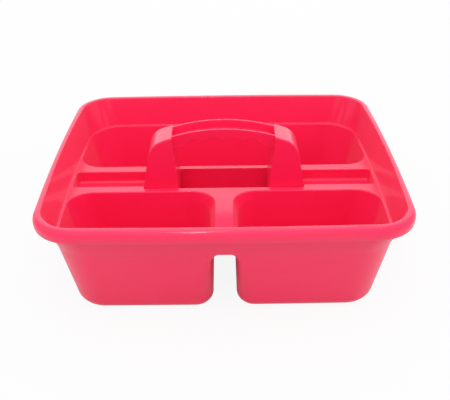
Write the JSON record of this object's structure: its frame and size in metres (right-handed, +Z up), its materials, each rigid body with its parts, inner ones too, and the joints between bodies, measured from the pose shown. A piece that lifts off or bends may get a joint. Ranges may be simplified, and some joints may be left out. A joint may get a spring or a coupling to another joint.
{
  "type": "art supply caddy",
  "caption": "Glossy moulded carry caddy for art supplies: open pockets under a rolled rim, a groove along the divider and a snap-in arched handle with finger hollows.",
  "frame": {"origin": "on the surface the caddy stands on, under the middle of the tray", "axes": "+X along the tray's long side, to the right seen from the front; +Y to the back, where the long pocket is; +Z up"},
  "size_m": [0.327, 0.2758, 0.1336],
  "materials": {
    "tray": "gloss",
    "handle": "gloss"
  },
  "bodies": {
    "root": {"tray": "tray", "handle": "handle"}
  },
  "joints": []
}
